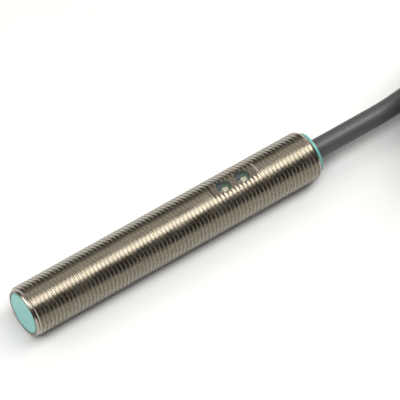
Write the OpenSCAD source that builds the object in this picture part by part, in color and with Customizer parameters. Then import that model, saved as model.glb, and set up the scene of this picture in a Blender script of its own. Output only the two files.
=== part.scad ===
// Cylindrical inductive proximity sensor with a threaded barrel and a fixed cable.
// The sensing face is the plane x = 0, the barrel runs along +X, and the two indicator
// windows look up along +Z. The barrel lies on its side on the plane z = -thread_d / 2.

/* [Barrel] */
// Length of the threaded barrel
tube_len = 76.5; // [64:0.5:120]
// Diameter over the crests of the thread
thread_d = 11.9; // [11.5:0.1:15]
// Distance from one thread crest to the next
thread_pitch = 1; // [0.75:0.25:1.5]
// Height of the thread, from its root to its crest
thread_depth = 0.61; // [0.4:0.01:0.65]
// Width of the flat left on each crest
crest_w = 0.13; // [0.1:0.01:0.2]
// Bore of the barrel
bore_d = 9.9; // [8.2:0.1:10.1]
// Length of the chamfer at each end of the barrel
chamfer_len = 0.95; // [0.5:0.05:1.5]
// Drop of the chamfer at each end of the barrel
chamfer_drop = 0.65; // [0.3:0.05:0.7]

/* [Windows] */
// Diameter of each indicator window
window_d = 3.4; // [2.6:0.1:4.2]
// Distance between the centres of the two windows
window_gap = 5; // [4.6:0.1:8]
// Distance from the rear of the barrel to the rear window
window_from_rear = 18.1; // [16:0.1:24]
// Depth of the milled flat below the thread crests
flat_depth = 0.6; // [0.3:0.05:0.7]
// Length of the milled flat beyond the edge of each window
flat_margin = 0.6; // [0.3:0.1:2]
// Radius of the cutter that leaves the ramps of the flat
cutter_r = 2.5; // [1.5:0.1:5]
// Drop from the flat to the top of each lens
lens_recess = 0.1; // [0.05:0.05:0.3]
// Thickness of each lens
lens_t = 0.8; // [0.6:0.1:1.2]

/* [Sensing end] */
// Thickness of the plastic face in front of the coil
face_t = 0.8; // [0.5:0.1:1.5]
// Wall of the front cap
cap_wall = 0.45; // [0.3:0.05:0.6]
// Length of the front cap
cap_len = 12; // [10:0.5:16]
// Wall of the shield ring
shield_wall = 0.3; // [0.2:0.05:0.4]
// Length of the shield ring
shield_len = 5.6; // [5:0.1:6]
// Length of the ferrite core
core_len = 4.2; // [3.8:0.1:5]
// Depth of the winding space in the core
core_pocket = 3; // [2.4:0.1:3.4]
// Diameter of the core's middle post
post_d = 3.2; // [2.6:0.1:3.6]
// Wall round the winding space of the core
core_wall = 0.7; // [0.5:0.05:0.9]
// Hole through the middle post
post_hole_d = 1.4; // [0.8:0.1:1.8]
// Wall of the coil former
former_wall = 0.25; // [0.2:0.05:0.35]
// Diameter of the coil's lead wires
lead_d = 0.25; // [0.15:0.05:0.3]
// Distance between the two lead wires
lead_gap = 1.6; // [1.2:0.1:2]
// Length of the core seat behind the shield ring
seat_len = 2.9; // [2.4:0.1:3.5]
// How far the board reaches into the core seat
tongue_depth = 2.4; // [1.5:0.1:2.4]

/* [Circuit] */
// Thickness of the circuit board
board_t = 0.8; // [0.6:0.1:1.0]
// Room between the board's upper side and the insulating sleeve
room_above = 1.5; // [1.3:0.1:1.8]
// Width of the board's narrow front tongue
tongue_w = 5.2; // [4:0.1:5.4]
// Thickness of the insulating sleeve
sleeve_t = 0.2; // [0.1:0.05:0.25]
// Wall of the board carrier
carrier_wall = 0.5; // [0.3:0.05:0.7]
// Width of the ledge under each edge of the board
ledge_w = 0.6; // [0.4:0.05:0.8]
// Distance from the rear of the board to the rear of the barrel
board_from_rear = 11; // [11:0.5:13]
// Length, width and height of each light-emitting diode
led_size = [2, 1.25, 0.8]; // [0.5:0.05:2]
// How far each diode sits behind the middle of its window
led_shift = 0.6; // [0:0.1:0.6]

/* [Cable end] */
// Diameter of the cable
cable_d = 4.7; // [3.9:0.1:5.7]
// Diameter of each insulated core
core_d = 1.3; // [1:0.05:1.4]
// Diameter of each core's bare wire
wire_d = 0.75; // [0.5:0.05:0.8]
// How far the end cap stands out of the barrel
end_out = 0.85; // [0.5:0.05:3]
// How far the end cap reaches into the barrel
end_in = 6.5; // [5.5:0.1:8]
// Length of the cable seal
seal_len = 3; // [2:0.1:3.5]
// Wall of the cable seal
seal_wall = 1.4; // [0.8:0.1:1.5]
// Length of the clamp ferrule
ferrule_len = 2.8; // [2:0.1:2.8]
// Wall of the clamp ferrule
ferrule_wall = 0.5; // [0.3:0.05:0.6]
// Bevel on the outer edge of the end cap
end_bevel = 0.2; // [0.1:0.05:0.4]

/* [Cable hank] */
// How far the cable moves aside before it reaches the hank
lead_shift = 3.6; // [2:0.1:8]
// Length of the straight runs of the hank
hank_run = 76; // [71:1:94]
// Turns of cable side by side in the hank
hank_wide = 2; // [2:1:3]
// Turns of cable one above the other in the hank
hank_high = 4; // [3:1:5]
// Thickness of each tie
tie_t = 0.8; // [0.5:0.1:1.2]
// Width of each tie
tie_w = 2.5; // [2:0.1:4]
// Length, width and height of the head of each tie
tie_head = [4.4, 4, 3]; // [2:0.1:6]
// Length of the bare end of each core
bare_len = 6; // [4:0.5:8]

/* [Fits] */
// Gap round a piece that is glued or pressed into another
fit_gap = 0.05; // [0.03:0.01:0.08]

/* [Hidden] */
$fn = 96;
over = 0.2;      // how far a cut runs past the face it opens
thin = 0.02;     // gap between flat faces that lie on each other
thread_flank = thread_depth * tan(30);
thread_root_w = thread_pitch - crest_w - 2 * thread_flank;
crest_r = thread_d / 2;
root_r = crest_r - thread_depth;
end_r = crest_r - chamfer_drop;
bore_r = bore_d / 2;
floor_z = -crest_r;
groove_count = floor((tube_len - 2 * chamfer_len - crest_w) / thread_pitch);
first_groove = (tube_len - groove_count * thread_pitch + crest_w) / 2;

flat_z = crest_r - flat_depth;
rear_window_x = tube_len - window_from_rear;
front_window_x = rear_window_x - window_gap;
flat_start = front_window_x - window_d / 2 - flat_margin;
flat_end = rear_window_x + window_d / 2 + flat_margin;
lens_top = flat_z - lens_recess;

cap_r = bore_r - fit_gap;
cap_bore_r = cap_r - cap_wall;
core_front = face_t + fit_gap;
shield_r = cap_bore_r - fit_gap;
core_r = shield_r - shield_wall - fit_gap;
pocket_r = core_r - core_wall;
core_back = core_front + core_len;
former_front = core_front + thin;
former_len = core_pocket - 2 * thin;
former_in_r = post_d / 2 + fit_gap;
former_out_r = pocket_r - fit_gap;
winding_in_r = former_in_r + former_wall + thin;
winding_out_r = former_out_r - former_wall / 2;
seat_front = core_back + thin;
seat_step = core_front + shield_len + thin;
seat_back = seat_step + seat_len;

sleeve_out_r = bore_r - 2 * fit_gap;
sleeve_in_r = sleeve_out_r - sleeve_t;
sleeve_start = cap_len + over;
board_top = sleeve_in_r - room_above;
board_bottom = board_top - board_t;
board_half_w = sqrt(pow(sleeve_in_r, 2) - pow(board_top, 2)) - 2 * fit_gap;
board_start = seat_back - tongue_depth;
board_wide_start = sleeve_start + over;
board_end = tube_len - board_from_rear;
led_floor = board_top + thin;
lead_z = board_top + lead_d / 2 + thin;
lead_back = board_wide_start + 2;
chip_size = [1.6, 0.8, 0.45];        // length, width and height of each part on the board
tall_chip_size = [1.6, 0.8, 0.8];
trimming_size = [3.2, 1.6, 0.5];
tank_size = [3.2, 1.6, 1.2];
supply_size = [3.5, 2.8, 1.9];
oscillator_size = [4.9, 2.6, 1.4];
oscillator_leg = [0.4, 4.6, 0.5];
transistor_size = [4.5, 2.5, 1.5];
transistor_leg = [0.5, 4.2, 0.4];
diode_size = [3.6, 2.6, 2];
diode_leg = [4.8, 1.4, 0.4];
oscillator_pitch = 1.27;
transistor_pitch = 1.5;
chip_row_y = 1.2;                    // both rows of small chips, from the middle of the board
tall_pitch = 3;
tall_chip_x = front_window_x - 7;
chip_row_start = board_wide_start + 11;
chip_pitch = (tall_chip_x - 2.5 - chip_row_start) / 3;
carrier_out_r = sleeve_in_r - fit_gap;
carrier_in_r = carrier_out_r - carrier_wall;
carrier_start = board_wide_start + 1;
under_board = board_bottom - thin;

cable_r = cable_d / 2;
exit_x = tube_len + end_out;
end_start = tube_len - end_in;
cable_hole_r = cable_r + fit_gap;
end_web = 1;                 // the end cap's wall in front of the seal
seal_r = cable_hole_r + seal_wall;
seal_start = end_start + end_web;
seal_end = seal_start + seal_len;
ferrule_r = cable_hole_r + ferrule_wall;
ferrule_end = end_start - fit_gap;
ferrule_start = ferrule_end - ferrule_len;
sheath_start = ferrule_start - 6 * fit_gap;
sleeve_end = end_start - 4 * fit_gap;
bundle_r = 0.58 * core_d;   // three round cores touching each other
joint_x = board_end - 3;
joint_h = 0.35;
joint_r = [0.7, 0.45];       // radius of a solder joint at its pad and at its top
joint_pitch = board_half_w - ledge_w - core_d / 2 - 5 * fit_gap;

hank_bottom = floor_z + tie_t;
hank_top = hank_bottom + hank_high * cable_d;
fold_in_r = 3 * cable_d;
hank_in_r = fold_in_r - cable_r;
hank_out_r = hank_in_r + hank_wide * cable_d;

// A stretch of cable that goes along, aside and down. Its steps are in cable diameters, and each
// share says how much of the way aside and down is done there.
function bent(steps, shares, along, aside, down) = [
    for (i = [0:len(steps) - 1])
        [along * steps[i] * cable_d, aside * shares[i], -down * shares[i]]
];

// The free cable, as offsets from the point where it leaves the end cap: straight out, then
// down and aside to the lowest outer turn of the hank.
lead_steps = [0, 3.8, 4.3, 4.8, 5.3, 5.8, 6.3, 6.8, 7.3, 7.8, 8.3, 8.9, 9.15];
lead_share = [0, 0, 0.03, 0.1, 0.22, 0.35, 0.5, 0.65, 0.78, 0.9, 0.97, 1, 1];
lead_drop = -(hank_bottom + cable_r);
lead_route = bent(lead_steps, lead_share, 1, lead_shift, lead_drop);
entry_h = cable_d + 0.7 * lead_drop;

// The stripped end's sheath, as offsets from the place where it leaves the lowest inner turn:
// past the tie with a small gap, and down by the thickness of the tie to the floor.
tail_steps = [0, 0.7, 1.3, 1.8, 2.4, 3, 3.6, 4.2, 4.7, 5.3, 5.9, 6.4];
tail_share = [0, 0, 0.03, 0.1, 0.22, 0.36, 0.52, 0.67, 0.78, 0.9, 0.98, 1];
tail_shift = cable_d + tie_t + 4 * fit_gap;
tail_len = hank_run / 2 + 8;
tail_route = concat(bent(tail_steps, tail_share, -1, tail_shift, tie_t), [[-tail_len, tail_shift, -tie_t]]);
notch_len = tail_steps[len(tail_steps) - 1] * cable_d;

// The three cores past the end of the sheath, as offsets from the middle of its cut face. The last
// three steps of each are on the floor.
core_drop = cable_r - core_d / 2;
brown_y = [0, 0, 0.05, 0.1, 0.4, 0.8, 1, 1.2];
blue_y = [0.7, 0.7, 0.85, 1.3, 2.5, 3.6, 4.2, 4.7];
black_y = [-0.7, -0.7, -0.75, -0.9, -1.3, -1.7, -1.9, -2];
core_steps = [0, 1, 3, 6, 12, 18, 22, 26];
core_fall = [0, 0, 0.05, 0.2, 0.65, 0.95, 1, 1];
function core_route(sides, z) = [
    for (i = [0:len(core_steps) - 1])
        [-core_steps[i], sides[i], z + (-core_drop - z) * core_fall[i]]
];
brown_route = core_route(brown_y, bundle_r);
blue_route = core_route(blue_y, -bundle_r / 2);
black_route = core_route(black_y, -bundle_r / 2);
cable_exit = [exit_x, 0, 0];
hank_at = cable_exit + lead_route[len(lead_route) - 1] - [0, fold_in_r + (hank_wide - 1) * cable_d, 0];
tail_at = hank_at + [hank_run, -fold_in_r, 0];
tail_end = tail_at + tail_route[len(tail_route) - 1];
cord_sides = 12;
core_sides = 8;

// A round bar along X.
module bar(x0, x1, r) {
    translate([x0, 0, 0]) rotate([0, 90, 0]) cylinder(h = x1 - x0, r = r);
}

// A round pipe along X.
module pipe(x0, x1, r_out, r_in) {
    difference() {
        bar(x0, x1, r_out);
        bar(x0 - over, x1 + over, r_in);
    }
}

// A block given by the middle of its underside.
module block(x, y, z, size) {
    translate([x - size[0] / 2, y - size[1] / 2, z]) cube(size);
}

// A block that hangs from the underside of the board.
module hung(x, y, size) {
    block(x, y, under_board - size[2], size);
}

function unit(v) = v / norm(v);
function heading(route, i) = unit(route[min(i + 1, len(route) - 1)] - route[max(i - 1, 0)]);
function side_of(way) = unit(cross([0, 0, 1], way));
function around(way, angle) = cos(angle) * side_of(way) + sin(angle) * cross(way, side_of(way));

// A tube swept along a route, with flat ends square to it.
module swept(route, d, sides) {
    last = len(route) - 1;
    points = [
        for (i = [0:last]) for (k = [0:sides - 1])
            route[i] + d / 2 * around(heading(route, i), 360 * k / sides)
    ];
    walls = [
        for (i = [0:last - 1]) for (k = [0:sides - 1])
            let (a = i * sides + k, b = i * sides + (k + 1) % sides)
                each [[a, a + sides, b + sides], [a, b + sides, b]]
    ];
    caps = [[for (k = [0:sides - 1]) k], [for (k = [sides - 1:-1:0]) last * sides + k]];
    polyhedron(points, concat(walls, caps));
}

function moved(route, by) = [for (p = route) p + by];

// Both ends of the thread and every groove between them, as radius and distance along the barrel.
function groove(x) = [
    [crest_r, x],
    [root_r, x + thread_flank],
    [root_r, x + thread_flank + thread_root_w],
    [crest_r, x + thread_pitch - crest_w]
];

module thread_outline() {
    polygon(concat(
        [[bore_r, 0], [end_r, 0], [crest_r, chamfer_len]],
        [for (i = [0:groove_count - 1]) each groove(first_groove + i * thread_pitch)],
        [[crest_r, tube_len - chamfer_len], [end_r, tube_len], [bore_r, tube_len]]
    ));
}

// The space that the milling cutter sweeps, with a curved ramp at each end.
module cutter_sweep() {
    steps = 8;
    top = crest_r + over;
    reach = acos((cutter_r - flat_depth - over) / cutter_r);
    rotate([90, 0, 0]) linear_extrude(height = thread_d, center = true) polygon(concat(
        [for (i = [0:steps]) let (a = reach * (1 - i / steps))
            [flat_start - cutter_r * sin(a), flat_z + cutter_r * (1 - cos(a))]],
        [for (i = [0:steps]) let (a = reach * i / steps)
            [flat_end + cutter_r * sin(a), flat_z + cutter_r * (1 - cos(a))]]
    ));
}

module window_hole(x) {
    translate([x, 0, board_top]) cylinder(h = crest_r, r = window_d / 2);
}

module housing_tube() {
    color([0.72, 0.69, 0.62]) difference() {
        rotate([0, 90, 0]) rotate_extrude() thread_outline();
        cutter_sweep();
        window_hole(front_window_x);
        window_hole(rear_window_x);
    }
}

module front_cap() {
    color([0.58, 0.78, 0.75]) difference() {
        bar(0, cap_len, cap_r);
        bar(face_t, cap_len + over, cap_bore_r);
    }
}

module shield_ring() {
    color([0.80, 0.62, 0.30]) pipe(core_front, core_front + shield_len, shield_r, shield_r - shield_wall);
}

// The slot that lets the coil's leads out through the back of the core and the seat.
module lead_slot(x0, x1) {
    w = lead_gap + 4 * lead_d;
    translate([x0, -w / 2, lead_z - lead_d]) cube([x1 - x0, w, core_r]);
}

module ferrite_core() {
    color([0.20, 0.20, 0.21]) difference() {
        bar(core_front, core_back, core_r);
        pipe(core_front - over, core_front + core_pocket, pocket_r, post_d / 2);
        bar(core_front - over, core_back + over, post_hole_d / 2);
        lead_slot(core_front + core_pocket / 2, core_back + over);
    }
}

module coil_former() {
    color([0.93, 0.92, 0.88]) difference() {
        bar(former_front, former_front + former_len, former_out_r);
        pipe(former_front + former_wall, former_front + former_len - former_wall, former_out_r + over,
            former_in_r + former_wall);
        bar(former_front - over, former_front + former_len + over, former_in_r);
    }
}

module coil_winding() {
    color([0.72, 0.36, 0.18]) pipe(former_front + former_wall + thin,
        former_front + former_len - former_wall - thin, winding_out_r, winding_in_r);
}

module coil_leads() {
    color([0.72, 0.36, 0.18]) for (side = [-1, 1])
        translate([0, side * lead_gap / 2, lead_z])
            bar(core_front + core_pocket + thin, lead_back, lead_d / 2);
}

module tongue_slot(x0, x1) {
    w = tongue_w + 2 * fit_gap;
    translate([x0, -w / 2, board_bottom - fit_gap]) cube([x1 - x0, w, board_t + 2 * fit_gap]);
}

module core_seat() {
    color([0.15, 0.15, 0.16]) difference() {
        union() {
            bar(seat_front, seat_step + over, core_r);
            bar(seat_step, seat_back, shield_r);
        }
        tongue_slot(board_start - fit_gap, seat_back + over);
        lead_slot(seat_front - over, seat_back + over);
    }
}

module front_potting() {
    color([0.30, 0.22, 0.12]) difference() {
        bar(seat_back + thin, cap_len, cap_bore_r - thin);
        tongue_slot(seat_back - over, cap_len + over);
        lead_slot(seat_back - over, cap_len + over);
    }
}

module insulating_sleeve() {
    color([0.22, 0.25, 0.26]) difference() {
        pipe(sleeve_start, sleeve_end, sleeve_out_r, sleeve_in_r);
        window_hole(front_window_x);
        window_hole(rear_window_x);
    }
}

module board_carrier() {
    ledge_in = board_half_w - ledge_w;
    color([0.12, 0.12, 0.13]) difference() {
        bar(carrier_start, board_end, carrier_out_r);
        translate([carrier_start - over, -bore_r, under_board]) cube([tube_len, bore_d, bore_d]);
        translate([carrier_start - over, -ledge_in, under_board - ledge_w - over])
            cube([tube_len, 2 * ledge_in, bore_d]);
        intersection() {
            bar(carrier_start - over, board_end + over, carrier_in_r);
            translate([carrier_start - over, -bore_r, -bore_r])
                cube([tube_len, bore_d, bore_r + under_board - ledge_w]);
        }
    }
}

module circuit_board() {
    color([0.16, 0.42, 0.24]) union() {
        translate([board_start, -tongue_w / 2, board_bottom])
            cube([board_wide_start - board_start + over, tongue_w, board_t]);
        translate([board_wide_start, -board_half_w, board_bottom])
            cube([board_end - board_wide_start, 2 * board_half_w, board_t]);
    }
}

module tank_capacitor() {
    color([0.74, 0.60, 0.42]) hung(board_wide_start + 3.5, 0, tank_size);
}

module trimming_resistor() {
    color([0.10, 0.10, 0.11]) block(board_wide_start + 5, 0, led_floor, trimming_size);
}

module oscillator_chip() {
    x = board_wide_start + 10;
    color([0.10, 0.10, 0.11]) union() {
        hung(x, 0, oscillator_size);
        for (i = [0:3])
            hung(x + oscillator_pitch * (i - 1.5), 0, oscillator_leg);
    }
}

module supply_capacitor() {
    color([0.85, 0.62, 0.20]) hung(board_wide_start + 16.5, 0, supply_size);
}

module output_transistor() {
    x = board_end - 17.5;
    color([0.10, 0.10, 0.11]) union() {
        hung(x, 0, transistor_size);
        for (i = [-1:1])
            hung(x + transistor_pitch * i, 0, transistor_leg);
    }
}

// A moulded diode with a bent lead at each end.
module moulded_diode(x) {
    union() {
        hung(x, 0, diode_size);
        hung(x, 0, diode_leg);
    }
}

module surge_diode() {
    color([0.10, 0.10, 0.11]) moulded_diode(board_end - 12);
}

module polarity_diode() {
    color([0.10, 0.10, 0.11]) moulded_diode(board_end - 6.5);
}

module chip_resistors() {
    color([0.12, 0.12, 0.13]) for (i = [0:3]) for (side = [-1, 1])
        block(chip_row_start + chip_pitch * i, side * chip_row_y, led_floor, chip_size);
}

module ceramic_capacitors() {
    color([0.74, 0.60, 0.42]) for (i = [0:1]) for (side = [-1, 1])
        block(tall_chip_x + tall_pitch * i, side * chip_row_y, led_floor, tall_chip_size);
}

// A small surface-mounted diode with its clear block on top.
module chip_led(x) {
    union() {
        block(x + led_shift, 0, led_floor, [led_size[0], led_size[1], led_size[2] / 2]);
        block(x + led_shift, 0, led_floor, [led_size[0] * 0.7, led_size[1], led_size[2]]);
    }
}

module power_led() {
    color([0.88, 0.84, 0.68]) chip_led(front_window_x);
}

module switching_led() {
    color([0.90, 0.82, 0.60]) chip_led(rear_window_x);
}

function joint_y(i) = joint_pitch * i;

module solder_joints() {
    color([0.75, 0.75, 0.77]) for (i = [-1:1])
        translate([joint_x, joint_y(i), led_floor]) cylinder(h = joint_h, r1 = joint_r[0], r2 = joint_r[1]);
}

module window_lens(x) {
    translate([x, 0, lens_top - lens_t]) cylinder(h = lens_t, r = window_d / 2 - fit_gap);
}

module window_lens_front() {
    color([0.85, 0.88, 0.88, 0.5]) window_lens(front_window_x);
}

module window_lens_rear() {
    color([0.85, 0.88, 0.88, 0.5]) window_lens(rear_window_x);
}

module rear_potting() {
    color([0.30, 0.22, 0.12])
        pipe(ferrule_start + thin, sleeve_end - thin, sleeve_in_r - thin, ferrule_r + thin);
}

module clamp_ferrule() {
    color([0.78, 0.78, 0.80]) pipe(ferrule_start, ferrule_end, ferrule_r, cable_hole_r - fit_gap + thin);
}

module cable_seal() {
    color([0.10, 0.10, 0.10]) pipe(seal_start, seal_end, seal_r, cable_r + thin);
}

module end_cap() {
    color([0.38, 0.72, 0.67]) difference() {
        union() {
            bar(end_start, exit_x - end_bevel, cap_r);
            translate([exit_x - end_bevel, 0, 0]) rotate([0, 90, 0])
                cylinder(h = end_bevel, r1 = cap_r, r2 = cap_r - end_bevel);
        }
        bar(end_start - over, exit_x + over, cable_hole_r);
        bar(end_start - over, seal_end + thin, seal_r + fit_gap);
    }
}

module sheath_end() {
    color([0.28, 0.28, 0.28]) bar(sheath_start, exit_x, cable_r);
}

// A core from the sheath up to the underside of its solder joint's pad.
module inner_core(i) {
    start = [sheath_start - thin, bundle_r * i, i == 0 ? bundle_r : -bundle_r / 2];
    pad = [joint_x + 0.6, joint_y(i), under_board - core_d / 2 - thin];
    swept([
        start,
        start + [-0.5, 0, 0],
        [(start[0] + pad[0]) / 2, (start[1] + pad[1]) / 2, (start[2] + pad[2]) / 2],
        pad + [0.5, 0, 0],
        pad
    ], core_d, core_sides);
}

module inner_core_brown() {
    color([0.35, 0.20, 0.12]) inner_core(-1);
}

module inner_core_blue() {
    color([0.10, 0.25, 0.60]) inner_core(1);
}

module inner_core_black() {
    color([0.07, 0.07, 0.07]) inner_core(0);
}

module cable_lead() {
    color([0.28, 0.28, 0.28]) swept(moved(lead_route, cable_exit), cable_d, cord_sides);
}

// An outline with two straight runs and round ends, about the middle of its near end.
function racetrack(r) = concat(
    [for (a = [90:7.5:270]) r * [cos(a), sin(a)]],
    [for (a = [-90:7.5:90]) [hank_run, 0] + r * [cos(a), sin(a)]]
);

module cable_hank() {
    color([0.28, 0.28, 0.28]) translate([hank_at[0], hank_at[1], hank_bottom]) difference() {
        linear_extrude(height = hank_top - hank_bottom) polygon(racetrack(hank_out_r));
        translate([0, 0, -over]) linear_extrude(height = hank_top - hank_bottom + 2 * over)
            polygon(racetrack(hank_in_r));
        // the lead comes in beside the lowest turns at the near end
        translate([0, 0, -over]) intersection() {
            translate([-2 * hank_out_r, -2 * hank_out_r, 0])
                cube([2 * hank_out_r, 4 * hank_out_r, entry_h + over]);
            difference() {
                linear_extrude(height = hank_top) polygon(racetrack(hank_out_r + over));
                translate([0, 0, -over]) linear_extrude(height = hank_top + 2 * over)
                    polygon(racetrack(hank_out_r - cable_d));
            }
        }
        translate([hank_run - notch_len, -hank_in_r - cable_d, -over])
            cube([notch_len, cable_d + hank_in_r / 2, cable_d + over]);
    }
}

module cable_tail() {
    color([0.28, 0.28, 0.28]) swept(moved(tail_route, tail_at), cable_d, cord_sides);
}

// A tie round one run of the hank, with its head on top.
module hank_tie(side) {
    w = hank_out_r - hank_in_r + 2 * thin;
    h = hank_top - hank_bottom + 2 * thin;
    x = hank_at[0] + hank_run / 2;
    y = hank_at[1] + side * (hank_in_r + hank_out_r) / 2;
    color([0.90, 0.89, 0.85]) union() {
        difference() {
            block(x, y, floor_z, [tie_w, w + 2 * tie_t, h + 2 * tie_t - thin]);
            block(x, y, floor_z + tie_t - thin, [tie_w + 2 * over, w, h]);
        }
        block(x, y, hank_top + tie_t / 2, tie_head);
    }
}

module hank_tie_left() {
    hank_tie(1);
}

module hank_tie_right() {
    hank_tie(-1);
}

module tail_core(route) {
    swept(moved(route, tail_end), core_d, core_sides);
}

// The bare end of a core, which goes on the way that the core was going.
module tail_wire(route) {
    last = len(route) - 1;
    cut_face = tail_end + route[last];
    swept([cut_face, cut_face + bare_len * heading(route, last)], wire_d, core_sides);
}

module tail_core_brown() {
    color([0.35, 0.20, 0.12]) tail_core(brown_route);
}

module tail_core_blue() {
    color([0.10, 0.25, 0.60]) tail_core(blue_route);
}

module tail_core_black() {
    color([0.07, 0.07, 0.07]) tail_core(black_route);
}

module tail_wire_brown() {
    color([0.80, 0.50, 0.35]) tail_wire(brown_route);
}

module tail_wire_blue() {
    color([0.80, 0.50, 0.35]) tail_wire(blue_route);
}

module tail_wire_black() {
    color([0.80, 0.50, 0.35]) tail_wire(black_route);
}

housing_tube();
front_cap();
shield_ring();
ferrite_core();
coil_former();
coil_winding();
coil_leads();
core_seat();
front_potting();
insulating_sleeve();
board_carrier();
circuit_board();
tank_capacitor();
trimming_resistor();
oscillator_chip();
supply_capacitor();
output_transistor();
surge_diode();
polarity_diode();
chip_resistors();
ceramic_capacitors();
power_led();
switching_led();
solder_joints();
window_lens_front();
window_lens_rear();
rear_potting();
clamp_ferrule();
cable_seal();
end_cap();
sheath_end();
inner_core_brown();
inner_core_blue();
inner_core_black();
cable_lead();
cable_hank();
cable_tail();
hank_tie_left();
hank_tie_right();
tail_core_brown();
tail_core_blue();
tail_core_black();
tail_wire_brown();
tail_wire_blue();
tail_wire_black();
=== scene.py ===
# %% [markdown]
# # A cylindrical proximity sensor
#
# This notebook dresses a CAD model of an inductive proximity sensor. The real object is a nickel-plated
# brass tube with a fine thread from end to end. A teal plastic face closes the front, where a coil looks
# out, and a teal cap closes the rear, where a grey cable leaves. Two small windows on top show the
# indicator lamps on the circuit board inside.
#
# The CAD frame fixes every place and size. Each cell below makes one piece or one finish and prints what
# it made. Lengths are written in millimetres and turned into metres when a mesh is finished.

# %% Load the frame
import math

import bmesh
import bpy
from mathutils import Matrix, Vector


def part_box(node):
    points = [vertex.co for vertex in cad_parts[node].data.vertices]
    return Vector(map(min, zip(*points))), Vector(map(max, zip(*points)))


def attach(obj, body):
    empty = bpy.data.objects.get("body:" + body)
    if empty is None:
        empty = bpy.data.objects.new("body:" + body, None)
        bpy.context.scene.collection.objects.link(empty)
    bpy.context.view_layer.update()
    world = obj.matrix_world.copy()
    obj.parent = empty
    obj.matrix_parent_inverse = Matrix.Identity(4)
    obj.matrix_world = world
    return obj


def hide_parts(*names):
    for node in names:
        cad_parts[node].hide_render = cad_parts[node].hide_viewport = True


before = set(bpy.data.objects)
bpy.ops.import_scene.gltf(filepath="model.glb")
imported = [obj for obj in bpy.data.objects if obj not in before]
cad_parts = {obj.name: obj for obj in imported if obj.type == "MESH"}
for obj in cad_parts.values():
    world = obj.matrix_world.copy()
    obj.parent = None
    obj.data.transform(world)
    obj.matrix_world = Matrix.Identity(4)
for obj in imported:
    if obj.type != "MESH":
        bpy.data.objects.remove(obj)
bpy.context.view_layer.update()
MM = 0.001


def box_mm(node_name):
    """The low and high corners of a CAD node's box, in millimetres."""
    low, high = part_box(node_name)
    return Vector(low) / MM, Vector(high) / MM


tube_len, crest_r = box_mm("housing_tube")[1].xy
floor_z = -crest_r
print("barrel", round(tube_len, 2), "mm long and", round(2 * crest_r, 2), "mm across")

# %% [markdown]
# ## The camera
# The camera comes first, because the free cable has to be stowed just outside its view. It is a long lens
# far away, as a catalogue photographer would use it: the barrel hardly tapers from front to back. The
# camera looks down at 52 degrees and stands 35 degrees round to the left of the barrel's side. It aims a
# little past the barrel's middle, to leave room for the cable.

# %% Camera
CAMERA_DOWN = math.radians(51.93)
CAMERA_ROUND = math.radians(35.34)
CAMERA_DISTANCE = 906
LENS = 370.2
STAGE_CENTRE = Vector((40, 0, 0))
AIM_RIGHT, AIM_UP = 5.76, 6.40

towards_camera = Vector((
    -math.sin(CAMERA_ROUND) * math.cos(CAMERA_DOWN),
    -math.cos(CAMERA_ROUND) * math.cos(CAMERA_DOWN),
    math.sin(CAMERA_DOWN),
))
camera_right = Vector((math.cos(CAMERA_ROUND), -math.sin(CAMERA_ROUND), 0))
camera_up = towards_camera.cross(camera_right)
aim = STAGE_CENTRE + AIM_RIGHT * camera_right + AIM_UP * camera_up

camera_data = bpy.data.cameras.new("camera")
camera_data.lens = LENS
camera_data.sensor_width = 36
camera_data.clip_start = 0.05
camera = bpy.data.objects.new("camera", camera_data)
camera.location = (aim + CAMERA_DISTANCE * towards_camera) * MM
camera.rotation_euler = (-towards_camera).to_track_quat("-Z", "Y").to_euler()
bpy.context.scene.collection.objects.link(camera)
bpy.context.scene.camera = camera
print("camera at", [round(x, 3) for x in camera.location])

# %% [markdown]
# ## Small helpers
# A finished piece is a mesh object that sits at the origin, unturned and unscaled, and rides on the one
# body of this model. Nothing on the sensor moves, so that body is called root. Each shape is built in a
# bmesh, Blender's workbench for meshes, and becomes an object only when it is done.

# %% Helpers for pieces
def to_metres(bm):
    bmesh.ops.scale(bm, vec=(MM, MM, MM), verts=bm.verts)


def new_object(name, bm):
    """Link an object whose mesh is this bmesh, as it is."""
    mesh = bpy.data.meshes.new(name)
    bm.to_mesh(mesh)
    bm.free()
    made = bpy.data.objects.new(name, mesh)
    bpy.context.scene.collection.objects.link(made)
    return made


def riding_piece(name, bm, smooth_below):
    """Turn a bmesh in metres into a piece, smooth across edges below an angle."""
    bmesh.ops.recalc_face_normals(bm, faces=bm.faces)
    piece = new_object(name, bm)
    piece.data.shade_smooth()
    piece.data.set_sharp_from_angle(angle=math.radians(smooth_below))
    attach(piece, "root")
    return piece


def finish_mesh(name, bm, replaces=(), smooth_below=30):
    """Turn a bmesh in millimetres into a piece that stands in for CAD nodes."""
    to_metres(bm)
    piece = riding_piece(name, bm, smooth_below)
    if replaces:
        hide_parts(*replaces)
    return piece


# %% [markdown]
# Most shapes on the sensor are turned on a lathe, cut as blocks or drawn as wire, so three helpers make
# nearly everything: one spins an outline round the axis, one makes a box, and one makes a round bar.

# %% Helpers for shapes
WELD = 0.0005


def turned(bm, outline, steps=96):
    """Spin a closed outline of (distance along X, radius) points round the X axis."""
    verts = [bm.verts.new((x, 0, r)) for x, r in outline]
    edges = [bm.edges.new((a, b)) for a, b in zip(verts, verts[1:] + verts[:1])]
    bmesh.ops.spin(bm, geom=verts + edges, cent=(0, 0, 0), axis=(1, 0, 0), dvec=(0, 0, 0),
                   angle=2 * math.pi, steps=steps, use_merge=True)
    bmesh.ops.remove_doubles(bm, verts=bm.verts, dist=WELD)


def bevelled(bm, edges, offset, segments=2):
    bmesh.ops.bevel(bm, geom=edges, offset=offset, offset_type="OFFSET", affect="EDGES",
                    segments=segments, profile=0.5, material=-1)


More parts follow.
